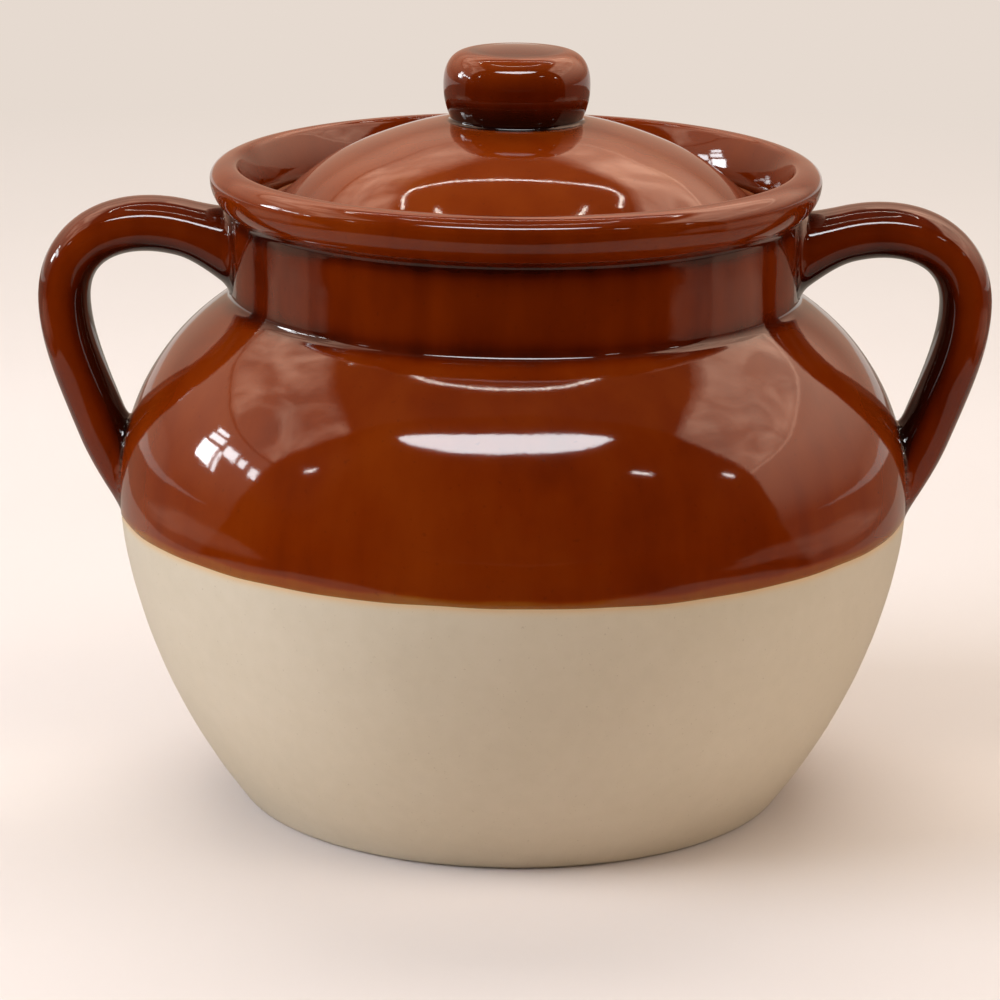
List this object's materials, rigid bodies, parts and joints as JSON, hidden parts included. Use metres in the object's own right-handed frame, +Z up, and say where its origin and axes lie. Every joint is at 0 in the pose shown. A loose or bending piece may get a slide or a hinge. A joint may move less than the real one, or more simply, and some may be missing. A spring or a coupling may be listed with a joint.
{
  "type": "bean pot",
  "caption": "Two-handled round-bellied stoneware pot with a flared rim, brown glaze over a cream base, and a loose domed lid with a knob that sits inside the rim.",
  "frame": {"origin": "on the pot's axis, in the plane that the foot stands on", "axes": "+Z up along the pot's axis, +X through the middle of the right handle, -Y towards the viewer of the picture"},
  "size_m": [0.2294, 0.191, 0.1822],
  "materials": {
    "cream_glaze": "satin",
    "brown_glaze": "gloss"
  },
  "bodies": {
    "pot": {"lower_wall": "cream_glaze", "upper_wall": "brown_glaze", "left_handle": "brown_glaze", "right_handle": "brown_glaze"},
    "lid": {"lid": "brown_glaze", "lid_knob": "brown_glaze"}
  },
  "joints": [
    {"name": "lid_lift", "type": "slide", "parent": "pot", "child": "lid", "axis": [0, 0, 1], "range_m": [0, 0.12]}
  ]
}
